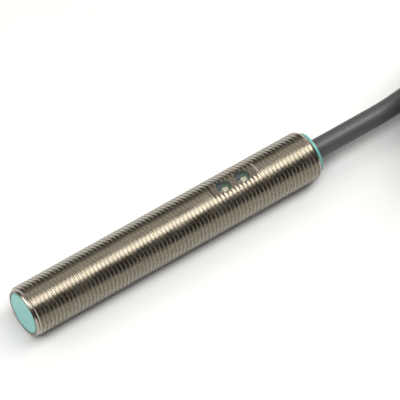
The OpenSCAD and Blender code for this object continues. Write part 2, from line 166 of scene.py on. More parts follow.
def block(bm, low, high, bevel=0.0, segments=2):
    """A box between two corners, with rounded edges if bevel is given."""
    low, high = Vector(low), Vector(high)
    size, centre = high - low, (low + high) / 2
    place = Matrix.Translation(centre) @ Matrix.Diagonal((*size, 1))
    made = bmesh.ops.create_cube(bm, size=1, matrix=place)
    if bevel:
        bevelled(bm, list({e for v in made["verts"] for e in v.link_edges}), bevel, segments)


def rod(bm, start, end, radius, sides=16):
    """A round bar between two points."""
    start, end = Vector(start), Vector(end)
    way = end - start
    place = Matrix.Translation((start + end) / 2) @ way.to_track_quat("Z", "Y").to_matrix().to_4x4()
    bmesh.ops.create_cone(bm, cap_ends=True, segments=sides, radius1=radius, radius2=radius,
                          depth=way.length, matrix=place)


# %% [markdown]
# ## The cable's route
# The cable is 4.7 mm thick and 2 m long, the usual length of a pre-wired sensor. It leaves the end cap on
# the axis, runs straight for a few diameters, comes down towards the table and is folded into a hank. A
# hank is better than a round coil here, because the sensor is slim.
#
# The hank is worked out by a loop. A turn goes along one run, round the far fold, back along the other run
# and round the near fold. The turns climb in the outer column, step inwards at the top and come down in
# the inner column. Every step from one place to the next is spread over a part of a turn, and steps that
# would meet come at different parts of the turn, so that no turn cuts through another.

# %% The free ends of the cable
CABLE_D = 4.7
HANK_RUN = 76
TIE_T = 0.8
TIE_GAP = 0.2
ROUTE_STEPS = 24


def eased(x):
    """Rise gently from 0 to 1 as x goes from 0 to 1."""
    x = min(max(x, 0), 1)
    return x * x * (3 - 2 * x)


def free_route(way, end, straight, bend, shift, drop):
    """Points that go straight along X, then ease aside and down over the length of the bend."""
    points = []
    for i in range(ROUTE_STEPS + 1):
        x = end * i / ROUTE_STEPS
        t = eased((x - straight) / bend)
        points.append(Vector((way * x, shift * t, -drop * t)))
    return points


cable_exit = Vector((box_mm("end_cap")[1].x, 0, 0))
lead_route = free_route(way=1, end=9.15 * CABLE_D, straight=3.8 * CABLE_D, bend=5.1 * CABLE_D,
                        shift=3.6, drop=crest_r - TIE_T - CABLE_D / 2)
tail_route = free_route(way=-1, end=HANK_RUN / 2 + 8, straight=0.7 * CABLE_D, bend=5.75 * CABLE_D,
                        shift=CABLE_D + TIE_T + TIE_GAP, drop=TIE_T)
print("cable leaves the cap at", round(cable_exit.x, 2), "mm")

# %% The hank
HANK_HIGH = 4
HANK_TURNS = 7.5
POINTS_PER_TURN = 96
STEP_TURNS = 0.08
UP_AT, DOWN_AT, INWARD_AT = 0.71, 0.55, 3.63

fold_r = 3 * CABLE_D
hank_at = cable_exit + lead_route[-1] - Vector((0, fold_r + CABLE_D, 0))
lowest_turn_z = floor_z + TIE_T + CABLE_D / 2
run_share = HANK_RUN / (2 * HANK_RUN + 2 * math.pi * (fold_r + CABLE_D / 2))


def step(turns, at):
    """0 before the turn called at, then 1, with a short eased step between them."""
    return eased((turns - at) / STEP_TURNS)


def hank_point(turns):
    """The cable's place in the hank after a number of turns."""
    column = 1 - step(turns, INWARD_AT)
    layer = sum(step(turns, lap + UP_AT) for lap in range(HANK_HIGH - 1))
    layer -= sum(step(turns, lap + DOWN_AT) for lap in range(HANK_HIGH, 2 * HANK_HIGH - 1))
    r, u = fold_r + CABLE_D * column, turns % 1
    if u < run_share:
        x, y = HANK_RUN * u / run_share, r
    elif u < 0.5:
        angle = math.pi * (0.5 - (u - run_share) / (0.5 - run_share))
        x, y = HANK_RUN + r * math.cos(angle), r * math.sin(angle)
    elif u < 0.5 + run_share:
        x, y = HANK_RUN * (1 - (u - 0.5) / run_share), -r
    else:
        angle = -math.pi * (0.5 + (u - 0.5 - run_share) / (0.5 - run_share))
        x, y = r * math.cos(angle), r * math.sin(angle)
    return Vector((hank_at.x + x, hank_at.y + y, lowest_turn_z + CABLE_D * layer))


turn_points = int(HANK_TURNS * POINTS_PER_TURN)
hank_points = [hank_point(i / POINTS_PER_TURN) for i in range(1, turn_points)]
tail_at = hank_at + Vector((HANK_RUN, -fold_r, lowest_turn_z - hank_at.z))
route = [cable_exit + p for p in lead_route] + hank_points + [tail_at + p for p in tail_route]
length = sum((b - a).length for a, b in zip(route, route[1:])) * MM
print("cable", round(length, 3), "m,", len(route), "points")

# %% [markdown]
# ## The cable
# A cable has one round section all along its route. Blender can sweep a circle along a curve, and the
# result is kept as a plain mesh. The stripped cores and their strands are made the same way.

# %% Cable
def cord_mesh(name, lines, diameter, resolution=5):
    """A piece with a round section along each line of points in millimetres."""
    curve = bpy.data.curves.new(name, "CURVE")
    curve.dimensions = "3D"
    curve.bevel_depth = diameter / 2 * MM
    curve.bevel_resolution = resolution
    curve.use_fill_caps = True
    for points in lines:
        spline = curve.splines.new("POLY")
        spline.points.add(len(points) - 1)
        for point, place in zip(spline.points, points):
            point.co = (*(Vector(place) * MM), 1)
    swept = bpy.data.objects.new(name, curve)
    bm = bmesh.new()
    bm.from_mesh(bpy.data.meshes.new_from_object(swept))
    bpy.data.objects.remove(swept)
    bmesh.ops.remove_doubles(bm, verts=bm.verts, dist=1e-7)
    return riding_piece(name, bm, smooth_below=50)


cable = cord_mesh("sensor_cable", [route], CABLE_D)
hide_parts("cable_lead", "cable_hank", "cable_tail")
print("cable has", len(cable.data.polygons), "faces")

# %% [markdown]
# ## Finishes
# Each finish is a small node tree on a Principled shader. Constants such as roughness sit on the shader's
# own sockets. Colour changes and fine relief come from noise that reads Object coordinates, so a pattern
# stays where it is on the piece.

# %% Helpers for finishes
def shader_input(material, name):
    return material.node_tree.nodes["Principled BSDF"].inputs[name]


def finish(name, colour, roughness, metallic=0.0, **sockets):
    """A new material, its shader's sockets set; an underscore in a socket's name stands for a space."""
    material = bpy.data.materials.new(name)
    material.use_nodes = True
    shader_input(material, "Base Color").default_value = (*colour, 1)
    shader_input(material, "Roughness").default_value = roughness
    shader_input(material, "Metallic").default_value = metallic
    for socket, value in sockets.items():
        shader_input(material, socket.replace("_", " ")).default_value = value
    return material


def node(owner, kind, **values):
    """A new node in the tree of a material or a world."""
    made = owner.node_tree.nodes.new(kind)
    for name, value in values.items():
        setattr(made, name, value)
    return made


def link(owner, source, target):
    owner.node_tree.links.new(source, target)


def put_on(material, *targets):
    """Give a material to pieces, or to CAD nodes by name."""
    for target in targets:
        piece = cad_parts[target] if isinstance(target, str) else target
        piece.data.materials.clear()
        piece.data.materials.append(material)


# %% [markdown]
# Four more helpers make a finish uneven, as real surfaces are: noise is the pattern, and it drives the
# colour, the gloss or a fine relief.

# %% Helpers for uneven finishes
NOISE_LOW, NOISE_HIGH = 0.3, 0.7  # the noise seldom leaves this range


def noise(material, scale, stretch=(1, 1, 1), detail=3.0):
    """Noise on Object coordinates; scale is in bumps per millimetre."""
    place = node(material, "ShaderNodeTexCoord")
    mapping = node(material, "ShaderNodeMapping")
    mapping.inputs["Scale"].default_value = stretch
    texture = node(material, "ShaderNodeTexNoise")
    texture.inputs["Scale"].default_value = scale / MM
    texture.inputs["Detail"].default_value = detail
    link(material, place.outputs["Object"], mapping.inputs["Vector"])
    link(material, mapping.outputs["Vector"], texture.inputs["Vector"])
    return texture.outputs["Fac"]


def mottled(material, value, dark, light, spread=0.25):
    """Base colour that wanders between two colours with value."""
    ramp = node(material, "ShaderNodeValToRGB")
    low, high = ramp.color_ramp.elements
    low.position, high.position = 0.5 - spread, 0.5 + spread
    low.color, high.color = (*dark, 1), (*light, 1)
    link(material, value, ramp.inputs["Fac"])
    link(material, ramp.outputs["Color"], shader_input(material, "Base Color"))


def uneven_gloss(material, value, smooth, rough):
    """Roughness that wanders between two values."""
    span = node(material, "ShaderNodeMapRange")
    span.inputs["From Min"].default_value = NOISE_LOW
    span.inputs["From Max"].default_value = NOISE_HIGH
    span.inputs["To Min"].default_value = smooth
    span.inputs["To Max"].default_value = rough
    link(material, value, span.inputs["Value"])
    link(material, span.outputs["Result"], shader_input(material, "Roughness"))


def relief(material, value, depth, strength=1.0):
    """Fine bumps; depth is in millimetres."""
    bump = node(material, "ShaderNodeBump")
    bump.inputs["Distance"].default_value = depth * MM
    bump.inputs["Strength"].default_value = strength
    link(material, value, bump.inputs["Height"])
    link(material, bump.outputs["Normal"], shader_input(material, "Normal"))


# %% [markdown]
# ## Nickel-plated brass
# The barrel is turned brass with a thin nickel plate. It is warm in the light and brownish in the dark.
# The flanks are given a lighter colour than the crests and the roots, so the colour follows the distance
# from the axis, which comes from the Object coordinates. The lighter flanks are a painted highlight: a flank
# shows the light only by way of the flank across the groove, and its lighter colour keeps the bright stripe
# whole. Fine marks of the thread roller run round the barrel, so the relief noise is stretched across its
# length. The milled flat is darker than the rolled thread.

# %% Nickel finish
THREAD_DEPTH = 0.61
NICKEL = (0.245, 0.219, 0.170)
# The flanks' lighter colour is a painted highlight that joins the bright stripe across the thread.
NICKEL_FLANK_HIGHLIGHT = (0.48, 0.45, 0.395)
NICKEL_MILLED = (0.142, 0.122, 0.098)
# Shares of the thread's depth from root to crest; the flanks' painted highlight colour lies between the
# middle two.
ROOT_STOP, FLANK_HIGHLIGHT_LOW, FLANK_HIGHLIGHT_HIGH, CREST_STOP = 0.06, 0.14, 0.68, 0.82


def nickel_finish(name, colour, flank_highlight_colour):
    nickel = finish(name, colour, roughness=0.2, metallic=1.0)
    place = node(nickel, "ShaderNodeTexCoord")
    across = node(nickel, "ShaderNodeVectorMath", operation="MULTIPLY")
    across.inputs[1].default_value = (0, 1, 1)
    radius = node(nickel, "ShaderNodeVectorMath", operation="LENGTH")
    link(nickel, place.outputs["Object"], across.inputs[0])
    link(nickel, across.outputs["Vector"], radius.inputs[0])
    height = node(nickel, "ShaderNodeMapRange")
    height.inputs["From Min"].default_value = (crest_r - THREAD_DEPTH) * MM
    height.inputs["From Max"].default_value = crest_r * MM
    link(nickel, radius.outputs["Value"], height.inputs["Value"])
    # A lighter colour on the flanks than on the crests and the roots: a painted highlight.
    tint = node(nickel, "ShaderNodeValToRGB")
    stops = tint.color_ramp.elements
    stops[0].position, stops[1].position = ROOT_STOP, CREST_STOP
    stops[0].color = stops[1].color = (*colour, 1)
    for position in (FLANK_HIGHLIGHT_LOW, FLANK_HIGHLIGHT_HIGH):
        stops.new(position).color = (*flank_highlight_colour, 1)
    link(nickel, height.outputs["Result"], tint.inputs["Fac"])
    link(nickel, tint.outputs["Color"], shader_input(nickel, "Base Color"))
    uneven_gloss(nickel, noise(nickel, 0.6, stretch=(0.4, 1, 1)), smooth=0.19, rough=0.30)
    relief(nickel, noise(nickel, 6, stretch=(4, 0.4, 0.4)), depth=0.002, strength=0.07)
    return nickel


nickel = nickel_finish("nickel_plate", NICKEL, NICKEL_FLANK_HIGHLIGHT)
milled = nickel_finish("milled_nickel", NICKEL_MILLED, NICKEL_MILLED)
print("made", nickel.name, "and", milled.name)

# %% [markdown]
# ## The threaded barrel
# The real barrel is a tube with a rolled thread, which is then chamfered, milled and drilled. The model is
# made in the same order. One long zigzag outline is spun once round the axis while it moves forward by
# one pitch, and its first and last columns then meet, one thread further along: that is a true helix.

# %% Threaded rod
PITCH = 1.0
ROOT_R = crest_r - THREAD_DEPTH
CREST_DROP, ROOT_RISE = 0.035, 0.025
SEGMENTS = 96
SEAM_WELD = 0.002
OVERHANG = 0.4
# Half a crest, a flank down, a rounded root, a flank up and half a crest, as (along, radius).
ONE_THREAD = (
    (0.055, crest_r), (0.095, crest_r - CREST_DROP), (0.425, ROOT_R + ROOT_RISE), (0.5, ROOT_R),
    (0.575, ROOT_R + ROOT_RISE), (0.905, crest_r - CREST_DROP), (0.945, crest_r),
)


def threaded_rod():
    """A helical rod, a little longer than the barrel and closed at both ends."""
    bm = bmesh.new()
    outline = [(turn * PITCH + x, r) for turn in range(-2, int(tube_len) + 3) for x, r in ONE_THREAD]
    verts = [bm.verts.new((x, 0, r)) for x, r in outline]
    edges = [bm.edges.new(pair) for pair in zip(verts, verts[1:])]
    bmesh.ops.spin(bm, geom=verts + edges, cent=(0, 0, 0), axis=(1, 0, 0), dvec=(PITCH / SEGMENTS, 0, 0),
                   angle=2 * math.pi, steps=SEGMENTS)
    bmesh.ops.remove_doubles(bm, verts=bm.verts, dist=SEAM_WELD)
    for x, way in ((-OVERHANG, -1), (tube_len + OVERHANG, 1)):
        cut = bmesh.ops.bisect_plane(bm, geom=bm.verts[:] + bm.edges[:] + bm.faces[:], dist=0.0001,
                                     plane_co=(x, 0, 0), plane_no=(way, 0, 0), clear_outer=True)
        rim = [e for e in cut["geom_cut"] if isinstance(e, bmesh.types.BMEdge)]
        bmesh.ops.contextual_create(bm, geom=rim)
    bmesh.ops.recalc_face_normals(bm, faces=bm.faces)
    return bm


print("thread", THREAD_DEPTH, "mm deep")

# %% [markdown]
# The rod is then cut to shape by four tools: a turned blank with the bore and the chamfers, the sweep of
# the milling cutter that makes the flat, a drill for each window and a countersink that breaks its edge.

# %% Cutters for the barrel
WINDOW_R = 1.7
WINDOW_SIDES = 64
RIM = 0.1
FLAT_MARGIN = 0.6
CUTTER_R = 2.5
CAP_GAP = 0.05
DISC_SUNK = 0.1
CHAMFER_DROP, CHAMFER_RUN = 0.65, 0.95
BORE_CHAMFER = 0.08


def middle_x(node_name):
    low, high = box_mm(node_name)
    return (low.x + high.x) / 2


front_window, rear_window = middle_x("window_lens_front"), middle_x("window_lens_rear")
bore_r = box_mm("front_cap")[1].y + CAP_GAP
flat_z = box_mm("window_lens_front")[1].z + DISC_SUNK
flat_start = front_window - WINDOW_R - FLAT_MARGIN
flat_end = rear_window + WINDOW_R + FLAT_MARGIN
print("flat from", round(flat_start, 2), "to", round(flat_end, 2), "mm, windows at",
      round(front_window, 2), "and", round(rear_window, 2), "mm")


def turned_blank():
    """The barrel without its thread; only the bore, the end faces and the chamfers touch the rod."""
    bm = bmesh.new()
    over = 0.25
    top = crest_r + over
    ramp = CHAMFER_RUN * (CHAMFER_DROP + over) / CHAMFER_DROP
    turned(bm, [(0, bore_r + BORE_CHAMFER), (0, crest_r - CHAMFER_DROP), (ramp, top), (tube_len - ramp, top),
                (tube_len, crest_r - CHAMFER_DROP), (tube_len, bore_r + BORE_CHAMFER),
                (tube_len - BORE_CHAMFER, bore_r), (BORE_CHAMFER, bore_r)], steps=128)
    bmesh.ops.recalc_face_normals(bm, faces=bm.faces)
    return bm


def cutter_sweep():
    """What the milling cutter takes away: the flat, with a ramp of the cutter's radius at each end."""
    bm = bmesh.new()
    angles = [math.radians(a) for a in range(0, 56, 5)]
    ramp = [(math.sin(a) * CUTTER_R, flat_z + CUTTER_R * (1 - math.cos(a))) for a in angles]
    outline = [(flat_start - x, z) for x, z in reversed(ramp)] + [(flat_end + x, z) for x, z in ramp]
    verts = [bm.verts.new((x, -crest_r, z)) for x, z in outline]
    face = bmesh.ops.contextual_create(bm, geom=verts)["faces"]
    swept = bmesh.ops.extrude_face_region(bm, geom=face)["geom"]
    moved = [v for v in swept if isinstance(v, bmesh.types.BMVert)]
    bmesh.ops.translate(bm, verts=moved, vec=(0, 2 * crest_r, 0))
    bmesh.ops.recalc_face_normals(bm, faces=bm.faces)
    return bm


def window_drill(x):
    bm = bmesh.new()
    rod(bm, (x, 0, flat_z - 2), (x, 0, crest_r + 1), WINDOW_R, sides=WINDOW_SIDES)
    return bm


def window_countersink(x):
    bm = bmesh.new()
    bmesh.ops.create_cone(bm, cap_ends=True, segments=WINDOW_SIDES, radius1=WINDOW_R - RIM,
                          radius2=WINDOW_R + 2 * RIM, depth=3 * RIM,
                          matrix=Matrix.Translation((x, 0, flat_z + RIM / 2)))
    return bm


# %% [markdown]
# A boolean modifier takes each tool to the rod. Its result is kept as the mesh, so nothing is left to work
# out later. The faces that the milling cutter made are found again by their place and get its finish.

# %% Threaded barrel
ON_SURFACE = 0.01


def helper_object(name, bm):
    """An object in metres from a bmesh in millimetres."""
    to_metres(bm)
    return new_object(name, bm)


def cut_with(target, tool, operation):
    """Apply one boolean to target and remove the tool."""
    modifier = target.modifiers.new("cut", "BOOLEAN")
    modifier.operation, modifier.object, modifier.solver = operation, tool, "MANIFOLD"
    graph = bpy.context.evaluated_depsgraph_get()
    result = bpy.data.meshes.new_from_object(target.evaluated_get(graph))
    target.modifiers.clear()
    target.data = result
    bpy.data.objects.remove(tool)


def milled_by_cutter(at, normal):
    """Whether a face of the barrel lies on the flat or on one of its two ramps."""
    past = max(flat_start - at.x, at.x - flat_end)
    if past < 0:
        return normal.z > 0.999 and abs(at.z - flat_z) < ON_SURFACE
    return abs(math.hypot(past, at.z - flat_z - CUTTER_R) - CUTTER_R) < ON_SURFACE


blank = helper_object("threaded_barrel", threaded_rod())
cut_with(blank, helper_object("lathe", turned_blank()), "INTERSECT")
cut_with(blank, helper_object("mill", cutter_sweep()), "DIFFERENCE")
for window_x in (front_window, rear_window):
    cut_with(blank, helper_object("drill", window_drill(window_x)), "DIFFERENCE")
    cut_with(blank, helper_object("countersink", window_countersink(window_x)), "DIFFERENCE")
bm = bmesh.new()
bm.from_mesh(blank.data)
bpy.data.objects.remove(blank)
bmesh.ops.scale(bm, vec=(1 / MM,) * 3, verts=bm.verts)
bmesh.ops.remove_doubles(bm, verts=bm.verts, dist=WELD)
bmesh.ops.dissolve_degenerate(bm, edges=bm.edges, dist=WELD)
barrel = finish_mesh("threaded_barrel", bm, replaces=["housing_tube"], smooth_below=22)
put_on(nickel, barrel)
barrel.data.materials.append(milled)
for part in barrel.data.polygons:
    if milled_by_cutter(part.center / MM, part.normal):
        part.material_index = 1
triangles = sum(len(part.vertices) - 2 for part in barrel.data.polygons)
print("barrel has", len(barrel.data.polygons), "faces,", triangles, "triangles")

# %% [markdown]
# ## Plastic, rubber and other metals
# Moulded plastic is a little uneven in gloss and has a faint grain. The finish of each small part inside
# is plainer, because a closed barrel hides it, but each has its own colour. The CAD nodes that need no
# finer shape keep their own mesh and only get a finish.

# %% Helpers for plastics and metals
def tinted(colour, share):
    return [min(c * share, 1) for c in colour]


def plastic(name, colour, roughness=0.4, grain=0.01):
    made = finish(name, colour, roughness)
    mottled(made, noise(made, 0.5), dark=tinted(colour, 0.94), light=tinted(colour, 1.05))
    uneven_gloss(made, noise(made, 1.5), smooth=roughness * 0.85, rough=roughness * 1.15)
    if grain:
        relief(made, noise(made, 9, detail=5), grain, strength=0.4)
    return made


def metal(name, colour, roughness=0.3):
    made = finish(name, colour, roughness, metallic=1.0)
    mottled(made, noise(made, 1.2), dark=tinted(colour, 0.85), light=colour)
    uneven_gloss(made, noise(made, 2.5), smooth=roughness * 0.8, rough=roughness * 1.3)
    return made


# %% Plastic, rubber and metal finishes
face_teal = plastic("face_teal", (0.22, 0.50, 0.465), 0.38)
# A darker teal for the front cap's rounded rim: painted shade along its edge.
shaded_rim_teal = plastic("shaded_rim_teal", (0.13, 0.40, 0.34), 0.38)
cap_teal = plastic("cap_teal", (0.11, 0.31, 0.275), 0.35)
sheath_grey = plastic("sheath_grey", (0.045, 0.045, 0.043), 0.45, grain=0.02)
black_mould = plastic("black_mould", (0.018, 0.018, 0.020), 0.5)
potting = plastic("potting_amber", (0.09, 0.05, 0.02), 0.3, grain=0)
sleeve_film = plastic("sleeve_film", (0.045, 0.058, 0.066), 0.35, grain=0)
ferrite_grey = plastic("ferrite_grey", (0.035, 0.035, 0.038), 0.6)
former_white = plastic("former_white", (0.78, 0.76, 0.68), 0.45)
board_mask = plastic("board_mask", (0.065, 0.21, 0.10), 0.3, grain=0)
board_trace = plastic("board_trace", (0.13, 0.34, 0.17), 0.3, grain=0)
ceramic_tan = plastic("ceramic_tan", (0.48, 0.30, 0.16), 0.5)
resistor_black = plastic("resistor_black", (0.02, 0.02, 0.022), 0.25, grain=0)
tantalum_yellow = plastic("tantalum_yellow", (0.70, 0.42, 0.06), 0.4)
lamp_cream = plastic("lamp_cream", (0.38, 0.345, 0.23), 0.35, grain=0)
rubber_black = plastic("rubber_black", (0.022, 0.022, 0.022), 0.7)
core_brown = plastic("core_brown", (0.095, 0.035, 0.016), 0.4, grain=0)
core_blue = plastic("core_blue", (0.012, 0.07, 0.34), 0.4, grain=0)
core_black = plastic("core_black", (0.014, 0.014, 0.015), 0.4, grain=0)
tie_nylon = plastic("tie_nylon", (0.76, 0.75, 0.68), 0.35, grain=0)
raw_brass = metal("raw_brass", (0.80, 0.58, 0.26))
bright_tin = metal("bright_tin", (0.78, 0.78, 0.80), 0.25)
coil_copper = metal("coil_copper", (0.62, 0.24, 0.09), 0.28)
wire_copper = metal("wire_copper", (0.86, 0.44, 0.26), 0.3)
lens_clear = finish("lens_clear", (0.26, 0.29, 0.30), 0.06, Alpha=0.07, Specular_IOR_Level=0.25)
relief(lens_clear, noise(lens_clear, 0.8), depth=0.01, strength=0.2)
print("finishes made:", len(bpy.data.materials))

# %% Finishes for the plain CAD nodes
put_on(raw_brass, "shield_ring")
put_on(ferrite_grey, "ferrite_core")
put_on(former_white, "coil_former")
put_on(coil_copper, "coil_leads")
put_on(black_mould, "core_seat", "board_carrier")
put_on(potting, "front_potting", "rear_potting")
put_on(sleeve_film, "insulating_sleeve")
put_on(bright_tin, "clamp_ferrule")
put_on(rubber_black, "cable_seal")
put_on(sheath_grey, "sheath_end", cable)
put_on(core_brown, "inner_core_brown")
put_on(core_blue, "inner_core_blue")
put_on(core_black, "inner_core_black")
print("CAD nodes in the frame:", len(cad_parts))

# %% [markdown]
# ## The two teal mouldings
# Both caps are turned from an outline, one half of their cross-section. Their visible edges are rounded,
# and a narrow flat ring beside each rounding keeps the shading of the flat face even. The front cap's rim
# is painted a deeper teal than its middle: painted shade along its rounded edge.

# %% Front and rear caps
# The front cap's faces outside this radius and within this depth of the face get painted shade.
SHADED_RIM_R, SHADED_RIM_DEPTH = 4.58, 0.3
CAP_STEPS = 128


def arc(x, r, radius, start, end, steps=5):
    """Points on an arc about (x, r), from start to end in degrees."""
    angles = [math.radians(start + (end - start) * i / steps) for i in range(steps + 1)]
    return [(x + radius * math.cos(a), r + radius * math.sin(a)) for a in angles]


def sensing_face():
    """A cup that opens towards the coil, with a rounded front edge and a bevel in its inside corner."""
    high = box_mm("front_cap")[1]
    length, r = high.x, high.y
    wall, thick, edge, ring, corner = 0.45, 0.8, 0.22, 0.12, 0.3
    bm = bmesh.new()
    turned(bm, [(0, 0), (0, r - edge - ring)] + arc(edge, r - edge, edge, 180, 90) +
           [(length, r), (length, r - wall), (thick + corner, r - wall), (thick, r - wall - corner),
            (thick, 0)], steps=CAP_STEPS)
    return finish_mesh("sensing_face", bm, replaces=["front_cap"], smooth_below=40)


def rear_cap():
    """A ring round the cable, rounded at its outer edge and at the hole, with a pocket for the seal."""
    low, high = box_mm("end_cap")
    start, end, r, hole = low.x, high.x, high.y, CABLE_D / 2 + 0.05
    pocket, pocket_end, edge, lip, ring = 3.85, 74.02, 0.2, 0.15, 0.1
    bm = bmesh.new()
    turned(bm, [(start, pocket), (start, r)] + arc(end - edge, r - edge, edge, 90, 0) +
           [(end, r - edge - ring), (end, hole + lip + ring)] + arc(end - lip, hole + lip, lip, 0, -90) +
           [(pocket_end, hole), (pocket_end, pocket)], steps=CAP_STEPS)
    return finish_mesh("rear_cap", bm, replaces=["end_cap"], smooth_below=40)


face, cap = sensing_face(), rear_cap()
put_on(face_teal, face)
# The rounded rim gets the darker teal: painted shade.
face.data.materials.append(shaded_rim_teal)
for part in face.data.polygons:
    if part.center.x < SHADED_RIM_DEPTH * MM and math.hypot(part.center.y, part.center.z) > SHADED_RIM_R * MM:
        part.material_index = 1
put_on(cap_teal, cap)
print("caps have", len(face.data.polygons), "and", len(cap.data.polygons), "faces")

# %% [markdown]
# ## What the windows show
# Each window is a clear disc just below the milled flat. Under it lies the green board with a small
# cream lamp, its tinned pads, a few tracks and the black transistor that drives the lamp. The transistor's
# dark body sits where the inside of the barrel lies in shade, so it is painted shade. These small parts make
# the windows look real, so they get their true shapes: a lamp has a body and two metal ends.

# %% Helpers for small parts
def painted(bm, index, make, *args, **options):
    """Build something in bm and give its faces the material with that index."""
    before = set(bm.faces)
    make(bm, *args, **options)
    for made in set(bm.faces) - before:
        made.material_index = index


def coated(piece, *materials):
    """Give a piece its materials, in the order of the indices that painted uses."""
    for material in materials:
        piece.data.materials.append(material)
    return piece


def chip(bm, low, high, end=0.25):
    """A chip part between two corners: a body with a slightly larger metal end on both sides in X."""
    low, high = Vector(low), Vector(high)
    inset = Vector((end * 0.8, 0.02, 0.02))
    painted(bm, 0, block, low + inset, high - inset)
    painted(bm, 1, block, low, (low.x + end, high.y, high.z), bevel=0.04, segments=1)
    painted(bm, 1, block, (high.x - end, low.y, low.z), high, bevel=0.04, segments=1)


def strip(bm, start, end, width, height):
    """A flat strip, such as a track, between two points on the same level."""
    start, end = Vector(start), Vector(end)
    way = end - start
    place = (Matrix.Translation((start + end) / 2) @ Matrix.Rotation(math.atan2(way.y, way.x), 4, "Z") @
             Matrix.Diagonal((way.length + width, width, height, 1)))
    bmesh.ops.create_cube(bm, size=1, matrix=place)


# %% Circuit board with its pads and tracks
TONGUE_HALF, TONGUE_END = 2.6, 12.4
LAMP_SHIFT = 0.6
PAD_SUNK, PAD_RISE = 0.01, 0.015
TRACK_WIDTH, TRACK_HEIGHT = 0.22, 0.02
VIA_R, VIA_RISE = 0.22, 0.018
# Each track is a line of points and each via a point, in X and Y from the middle of a window.
TRACKS = (
    ((LAMP_SHIFT - 1, 0), (-1.6, -0.6), (-3.2, -0.6)),
    ((LAMP_SHIFT + 1, 0), (2.2, 0.7), (3, 0.7)),
    ((-2, -1.5), (2, -1.5)),
    ((-1.05, 0.85), (-1.9, 0.85), (-2.6, 1.5)),
)
VIAS = ((-1.2, -1.15), (1.35, 1.2))
board_low, board_high = box_mm("circuit_board")
board_top = board_high.z


def pads(bm, x, y, size_x, size_y, gap):
    """Two tinned pads, one on each side of x."""
    for middle in (x - gap, x + gap):
        painted(bm, 2, block, (middle - size_x / 2, y - size_y / 2, board_top - PAD_SUNK),
                (middle + size_x / 2, y + size_y / 2, board_top + PAD_RISE))


def board():
    """A narrow tongue towards the coil and the wide board behind it, with the copper near each window."""
    bm = bmesh.new()
    block(bm, (board_low.x, -TONGUE_HALF, board_low.z), (TONGUE_END, TONGUE_HALF, board_top))
    block(bm, (TONGUE_END, board_low.y, board_low.z), board_high)
    for x in (front_window, rear_window):
        pads(bm, x + LAMP_SHIFT, 0, size_x=0.5, size_y=1.2, gap=1.05)
        pads(bm, x - 0.6, 0.85, size_x=0.4, size_y=0.25, gap=0.45)
        for points in TRACKS:
            corners = [(x + along, y, board_top) for along, y in points]
            for a, b in zip(corners, corners[1:]):
                painted(bm, 1, strip, a, b, TRACK_WIDTH, TRACK_HEIGHT)
        for along, y in VIAS:
            place = Vector((x + along, y, board_top))
            painted(bm, 2, rod, place - Vector((0, 0, PAD_SUNK)), place + Vector((0, 0, VIA_RISE)), VIA_R)
    return finish_mesh("printed_board", bm, replaces=["circuit_board"], smooth_below=20)


printed_board = coated(board(), board_mask, board_trace, bright_tin)
print("board has", len(printed_board.data.polygons), "faces")

# %% [markdown]
# A lamp is a small tinned base with a cream lens on it. Its driver is a moulded transistor with two legs
# on one side and one on the other, and its black body is painted shade in the window. The disc over them
# is turned like the caps and then stood upright.

# %% Indicator lamps and their neighbours
LAMP_SIZE = Vector((2, 1.25, 0.8))
BASE_HIGH = 0.3
SOLDER_T = 0.02
# Each leg is its place along X and its two ends in Y.
DRIVER_LEGS = ((-0.85, 0.6, 0.95), (0.2, 0.66, 0.95), (-0.3, 2.2, 2.5))


def lamp(name, x, node_name):
    bm = bmesh.new()
    low = Vector((x + LAMP_SHIFT - LAMP_SIZE.x / 2, -LAMP_SIZE.y / 2, board_top + SOLDER_T))
    high = low + LAMP_SIZE
    middle = low.z + BASE_HIGH
    painted(bm, 1, chip, low, (high.x, high.y, middle), end=0.32)
    painted(bm, 0, block, (low.x + 0.3, low.y + 0.01, middle - 0.02), (high.x - 0.3, high.y - 0.01, high.z),
            bevel=0.07)
    made = finish_mesh(name, bm, replaces=[node_name], smooth_below=40)
    coated(made, lamp_cream, bright_tin)


def shading_driver(name, x):
    """The small moulded transistor beside a lamp, at a window's x; its black body is painted shade in the
    window.
    """
    bm = bmesh.new()
    low = board_top + SOLDER_T
    # The black body is painted shade: a dark part where the barrel's inside lies in shade.
    painted(bm, 0, block, (x - 1.1, 0.85, low + 0.05), (x + 0.5, 2.25, low + 0.75), bevel=0.08)
    for along, y0, y1 in DRIVER_LEGS:
        painted(bm, 1, block, (x + along - 0.15, y0, low), (x + along + 0.15, y1, low + 0.2),
                bevel=0.04, segments=1)
    coated(finish_mesh(name, bm, smooth_below=40), black_mould, bright_tin)


def clear_disc(name, x, node_name):
    """A disc with a small chamfer below and a rounded edge on top."""
    low, high = box_mm(node_name)
    r, bottom, top = high.x - x, low.z, high.z
    chamfer, edge = 0.05, 0.08
    bm = bmesh.new()
    turned(bm, [(bottom, 0), (bottom, r - chamfer), (bottom + chamfer, r)] +
           arc(top - edge, r - edge, edge, 90, 0, 3) + [(top, r - 2 * edge), (top, 0)], steps=WINDOW_SIDES)
    bmesh.ops.rotate(bm, verts=bm.verts, cent=(0, 0, 0), matrix=Matrix.Rotation(math.radians(-90), 3, "Y"))
    bmesh.ops.translate(bm, verts=bm.verts, vec=(x, 0, 0))
    put_on(lens_clear, finish_mesh(name, bm, replaces=[node_name], smooth_below=35))


lamp("power_lamp", front_window, "power_led")
lamp("switching_lamp", rear_window, "switching_led")
shading_driver("power_lamp_shading_driver", front_window)
shading_driver("switching_lamp_shading_driver", rear_window)
clear_disc("front_clear_disc", front_window, "window_lens_front")
clear_disc("rear_clear_disc", rear_window, "window_lens_rear")
print("made a lamp, a driver and a disc for each window")

# %% [markdown]
# ## The parts on the board
# The remaining parts are inside the closed barrel. Chips have metal ends and moulded parts have bent legs.
# Each fills the box of its CAD node, so it stays where the CAD model has it.

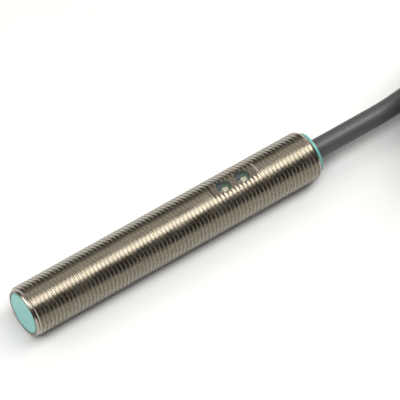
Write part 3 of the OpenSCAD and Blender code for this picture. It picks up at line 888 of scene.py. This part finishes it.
# %% Shapes of the parts on the board
CHIP_X, CHIP_Y = 1.6, 0.8
LEG_T, LEG_HIGH, KNEE_HALF = 0.15, 0.6, 0.08


def chip_rows(node_name, count):
    """A row of chips on each side of the board's middle, in the place of one CAD node."""
    low, high = box_mm(node_name)
    bm = bmesh.new()
    for i in range(count):
        x = low.x + (high.x - low.x - CHIP_X) * i / (count - 1)
        for y in (low.y, high.y - CHIP_Y):
            chip(bm, (x, y, low.z), (x + CHIP_X, y + CHIP_Y, high.z))
    return bm


def chip_in(node_name):
    bm = bmesh.new()
    low, high = box_mm(node_name)
    chip(bm, low, high, end=(high.x - low.x) * 0.16)
    return bm


def legged(node_name, body_x, body_y, leg_width, leg_places):
    """A moulded part under the board, with its legs out to both sides in Y."""
    low, high = box_mm(node_name)
    x, top = (low.x + high.x) / 2, high.z
    bm = bmesh.new()
    painted(bm, 0, block, (x - body_x / 2, -body_y / 2, low.z), (x + body_x / 2, body_y / 2, top - 0.1),
            bevel=0.12)
    for side in (-1, 1):
        outer, inner = side * high.y, side * (body_y / 2 - 0.1)
        knee = (outer + inner) / 2
        bends = (
            (inner, knee, top - LEG_HIGH, top - LEG_HIGH + LEG_T),
            (knee - KNEE_HALF * side, knee + KNEE_HALF * side, top - LEG_HIGH, top),
            (knee, outer, top - LEG_T, top),
        )
        for place in leg_places:
            start, end = x + place - leg_width / 2, x + place + leg_width / 2
            for y0, y1, z0, z1 in bends:
                painted(bm, 1, block, (start, min(y0, y1), z0), (end, max(y0, y1), z1))
    return bm


def diode(node_name, body_x=3.6, body_y=2.6, reach=2.4):
    """A moulded part under the board, with a flat metal foot at both ends in X."""
    low, high = box_mm(node_name)
    x, top = (low.x + high.x) / 2, high.z
    bm = bmesh.new()
    painted(bm, 0, block, (x - body_x / 2, -body_y / 2, low.z), (x + body_x / 2, body_y / 2, top - 0.05),
            bevel=0.15)
    for side in (-1, 1):
        start, end = sorted((x + side * (body_x / 2 - 0.2), x + side * reach))
        painted(bm, 1, block, (start, -0.7, top - 0.4), (end, 0.7, top), bevel=0.05, segments=1)
    return bm


# %% Parts on the board
EIGHT_LEGS = [1.27 * (i - 1.5) for i in range(4)]
SIX_LEGS = [-1.5, 0, 1.5]
# Each part is its name, CAD node, slot and body finish, then its shape and what the shape needs.
BOARD_PARTS = (
    ("chip_resistor_rows", "chip_resistors", "resistor_chip", resistor_black, chip_rows, 4),
    ("chip_capacitor_rows", "ceramic_capacitors", "ceramic_chip", ceramic_tan, chip_rows, 2),
    ("trimming_chip", "trimming_resistor", "resistor_chip", resistor_black, chip_in),
    ("tank_chip", "tank_capacitor", "ceramic_chip", ceramic_tan, chip_in),
    ("supply_chip", "supply_capacitor", "tantalum_chip", tantalum_yellow, chip_in),
    ("oscillator_package", "oscillator_chip", "moulded_chip", black_mould, legged, 4.9, 2.6, 0.4, EIGHT_LEGS),
    ("output_package", "output_transistor", "moulded_chip", black_mould, legged, 4.5, 2.5, 0.5, SIX_LEGS),
    ("surge_diode_package", "surge_diode", "moulded_chip", black_mould, diode),
    ("polarity_diode_package", "polarity_diode", "moulded_chip", black_mould, diode),
)


def small_part(name, node_name, slot, bm, *materials):
    coated(finish_mesh(name, bm, replaces=[node_name], smooth_below=35), *materials)


for name, node_name, slot, body, shape, *sizes in BOARD_PARTS:
    small_part(name, node_name, slot, shape(node_name, *sizes), body, bright_tin)
print("parts on the board:", len(BOARD_PARTS))

# %% [markdown]
# The winding is turned from an outline with one round bump for each of its turns. A solder joint is a low
# dome: a ball that is flattened and cut off level at the board.

# %% Winding and solder joints
COIL_TURNS = 9
COIL_INNER_R = 2.0
DOME_SHARE = 0.6


def winding():
    low, high = box_mm("coil_winding")
    pitch = (high.x - low.x) / COIL_TURNS
    bumps = []
    for i in range(COIL_TURNS):
        bumps += arc(low.x + pitch * (i + 0.5), high.y - pitch / 2, pitch / 2, 170, 10, 4)
    bm = bmesh.new()
    turned(bm, [(low.x, COIL_INNER_R)] + bumps + [(high.x, COIL_INNER_R)], steps=48)
    return bm


def joints():
    low, high = box_mm("solder_joints")
    x, r = (low.x + high.x) / 2, (high.x - low.x) / 2
    pitch = high.y - r
    flattened = Matrix.Diagonal((1, 1, DOME_SHARE, 1))
    bm = bmesh.new()
    for y in (-pitch, 0, pitch):
        bmesh.ops.create_uvsphere(bm, u_segments=20, v_segments=10, radius=r,
                                  matrix=Matrix.Translation((x, y, low.z)) @ flattened)
    for vert in bm.verts:
        if vert.co.z < low.z - 0.01:
            vert.co.z = low.z
    bmesh.ops.remove_doubles(bm, verts=bm.verts, dist=0.001)
    return bm


small_part("wound_coil", "coil_winding", "enamelled_copper", winding(), coil_copper)
small_part("soldered_joints", "solder_joints", "solder", joints(), bright_tin)
print("winding of", COIL_TURNS, "turns and 3 solder joints made")

# %% [markdown]
# ## Ties
# Two nylon ties hold the hank. Each is a rounded band and a head with an open slot, with the trimmed stub
# of the band in it. The band is four rounded loops, inner and outer on both sides, joined by faces.

# %% Cable ties
BAND_HALF = 1.25
BAND_R = 2.6
HEAD_HIGH = 3.0


def rounded_loop(half_w, half_h, radius, steps=6):
    """A rounded rectangle about the origin, as (y, z) points."""
    points = []
    for start, sy, sz in ((0, 1, 1), (90, -1, 1), (180, -1, -1), (270, 1, -1)):
        points += arc(sy * (half_w - radius), sz * (half_h - radius), radius, start, start + 90, steps)
    return points


def tie_band(bm, middle, half_y, half_z):
    loops = []
    for side, inset, radius in ((-1, 0, BAND_R), (1, 0, BAND_R), (1, TIE_T, 1.9), (-1, TIE_T, 1.9)):
        ring = rounded_loop(half_y - inset, half_z - inset, radius)
        loops.append([bm.verts.new(middle + Vector((side * BAND_HALF, y, z))) for y, z in ring])
    for a, b in zip(loops, loops[1:] + loops[:1]):
        for i in range(len(a)):
            j = (i + 1) % len(a)
            bm.faces.new((a[i], a[j], b[j], b[i]))
    bevelled(bm, [e for e in bm.edges if e.verts[0].co.x == e.verts[1].co.x], 0.15)


def tie_head(bm, x, y, top):
    """A floor, two walls in X, two walls in Y, and the stub in the slot between them."""
    wall = {"bevel": 0.25, "segments": 3}
    block(bm, (x - 2.2, y - 2, top - HEAD_HIGH), (x + 2.2, y + 2, top - 0.8), **wall)
    for side in (-1, 1):
        block(bm, (x + side * 1.75 - 0.45, y - 2, top - 1.3), (x + side * 1.75 + 0.45, y + 2, top), **wall)
        block(bm, (x - 1.5, y + side * 1.4 - 0.6, top - 1.3), (x + 1.5, y + side * 1.4 + 0.6, top), **wall)
    block(bm, (x - BAND_HALF, y - 0.4, top - 1.5), (x + BAND_HALF, y + 0.4, top - 0.1), bevel=0.08)


def tie(name, node_name):
    low, high = box_mm(node_name)
    x, y = (low.x + high.x) / 2, (low.y + high.y) / 2
    half_z = (high.z - HEAD_HIGH + TIE_T / 2 - low.z) / 2
    bm = bmesh.new()
    tie_band(bm, Vector((x, y, low.z + half_z)), (high.y - low.y) / 2, half_z)
    tie_head(bm, x, y, high.z)
    made = finish_mesh(name, bm, replaces=[node_name], smooth_below=35)
    put_on(tie_nylon, made)
    return made


left_tie, right_tie = tie("left_tie", "hank_tie_left"), tie("right_tie", "hank_tie_right")
print("left tie from", [round(v, 1) for v in box_mm("hank_tie_left")[0]])

# %% [markdown]
# ## Stripped cores
# The far end of the cable is stripped: three cores come out of the sheath and spread, and each ends in
# twisted bare strands. They lie on the table with the cable.

# %% Stripped cores and bare strands
CORE_D, CORE_OUT, CORE_TUCK = 1.3, 27, 0.5
SPREAD_LENGTH, DROP_LENGTH = 25, 20
STRAND_D, STRAND_STEPS, TWISTS, BARE = 0.25, 24, 1.2, 6
# Each core is its finish, its place (y, z) in the sheath and its y at the far end.
CORES = {
    "brown": (core_brown, (0, 0.75), 1.2),
    "blue": (core_blue, (0.7, -0.4), 4.7),
    "black": (core_black, (-0.7, -0.4), -2.0),
}
tail_end = route[-1]
core_floor = -(CABLE_D - CORE_D) / 2


def core_point(colour, s):
    """A core's place at a distance s past the end of the sheath."""
    (y, z), y_end = CORES[colour][1:]
    spread, drop = eased((s - 1) / SPREAD_LENGTH), eased((s - 1) / DROP_LENGTH)
    return tail_end + Vector((-s, y + (y_end - y) * spread, z + (core_floor - z) * drop))


def strands(name, start):
    """Seven strands along -X from start, six of them twisted round the first."""
    shares = [i / STRAND_STEPS for i in range(STRAND_STEPS + 1)]
    middle = [start + Vector((CORE_TUCK - (BARE + CORE_TUCK) * t, 0, 0)) for t in shares]
    lines = [middle]
    for k in range(6):
        angles = [2 * math.pi * (k / 6 + TWISTS * t) for t in shares]
        lines.append([p + STRAND_D * Vector((0, math.cos(a), math.sin(a))) for p, a in zip(middle, angles)])
    return cord_mesh(name, lines, STRAND_D, resolution=2)


tips = []
for colour, (material, *_) in CORES.items():
    line = [core_point(colour, s - CORE_TUCK) for s in range(CORE_OUT + 1)]
    core = cord_mesh("stripped_core_" + colour, [line], CORE_D)
    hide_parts("tail_core_" + colour)
    put_on(material, core)
    wire = strands("bare_strands_" + colour, core_point(colour, CORE_OUT - CORE_TUCK))
    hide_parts("tail_wire_" + colour)
    put_on(wire_copper, wire)
    tips += [core, wire]
print("stripped end at", [round(v, 1) for v in tail_end])

# %% [markdown]
# ## The studio
# The floor is a plain pale sheet. The light is what shapes polished metal, because metal shows its
# surroundings: one long soft box overhead gives the bright stripe along the barrel, and a dim room on
# both sides gives the dark stripes beside it. A small box to the left lights the sensing face.

# %% Floor and soft boxes
FLOOR_HALF = 3000
FLOOR_GAP = 0.02


def floor_sheet():
    bm = bmesh.new()
    bmesh.ops.create_grid(bm, x_segments=1, y_segments=1, size=FLOOR_HALF)
    bmesh.ops.translate(bm, verts=bm.verts, vec=(0, 0, floor_z - FLOOR_GAP))
    sheet = helper_object("floor", bm)
    put_on(finish("floor_paper", (0.54, 0.54, 0.53), 0.8), sheet)


def soft_box(name, elevation, azimuth, distance, size, power):
    """An area light that looks at the barrel from a direction; azimuth 0 is the side nearest the camera."""
    data = bpy.data.lights.new(name, "AREA")
    data.shape = "RECTANGLE"
    data.size, data.size_y = size
    data.energy = power
    e, a = math.radians(elevation), math.radians(azimuth)
    way = Vector((math.sin(a) * math.cos(e), -math.cos(a) * math.cos(e), math.sin(e)))
    box = bpy.data.objects.new(name, data)
    box.location = STAGE_CENTRE * MM + way * distance
    box.rotation_euler = way.to_track_quat("Z", "Y").to_euler()
    bpy.context.scene.collection.objects.link(box)
    box.visible_camera = False


floor_sheet()
soft_box("overhead_box", elevation=75.5, azimuth=12, distance=1.2, size=(2.6, 0.58), power=32)
soft_box("left_box", elevation=45, azimuth=-111, distance=1.2, size=(0.8, 0.3), power=3.2)
print("lights:", len(bpy.data.lights))

# %% [markdown]
# The room is a colour ramp that runs round the barrel's axis, from the floor in front over the ceiling to
# the floor behind. A round barrel shows it as long soft stripes.

# %% Room
ROOM_STRENGTH = 2
DARK_FRONT = (0.024, 0.022, 0.020)
CEILING = (0.27, 0.265, 0.26)
BACK_WALL = (0.80, 0.79, 0.78)
DARK_BACK = (0.07, 0.068, 0.066)
ROOM_STOPS = ((0.30, DARK_FRONT), (0.50, CEILING), (0.58, CEILING), (0.71, BACK_WALL), (0.80, DARK_BACK))


def room_light():
    """A dim room: dark in front, a grey ceiling, a bright wall high behind and dark below it."""
    world = bpy.data.worlds.new("room")
    bpy.context.scene.world = world
    world.use_nodes = True
    place = node(world, "ShaderNodeTexCoord")
    split = node(world, "ShaderNodeSeparateXYZ")
    flip = node(world, "ShaderNodeMath", operation="MULTIPLY")
    flip.inputs[1].default_value = -1
    angle = node(world, "ShaderNodeMath", operation="ARCTAN2")
    share = node(world, "ShaderNodeMath", operation="DIVIDE")
    share.inputs[1].default_value = math.pi
    ramp = node(world, "ShaderNodeValToRGB")
    stops = ramp.color_ramp.elements
    stops[0].color, stops[1].color = (*DARK_FRONT, 1), (*DARK_BACK, 1)
    for position, colour in ROOM_STOPS:
        stops.new(position).color = (*colour, 1)
    background = world.node_tree.nodes["Background"]
    background.inputs["Strength"].default_value = ROOM_STRENGTH
    link(world, place.outputs["Generated"], split.inputs["Vector"])
    link(world, split.outputs["Y"], flip.inputs[0])
    link(world, split.outputs["Z"], angle.inputs[0])
    link(world, flip.outputs["Value"], angle.inputs[1])
    link(world, angle.outputs["Value"], share.inputs[0])
    link(world, share.outputs["Value"], ramp.inputs["Fac"])
    link(world, ramp.outputs["Color"], background.inputs["Color"])


room_light()
bpy.context.scene.view_settings.view_transform = "Standard"
print("studio set")
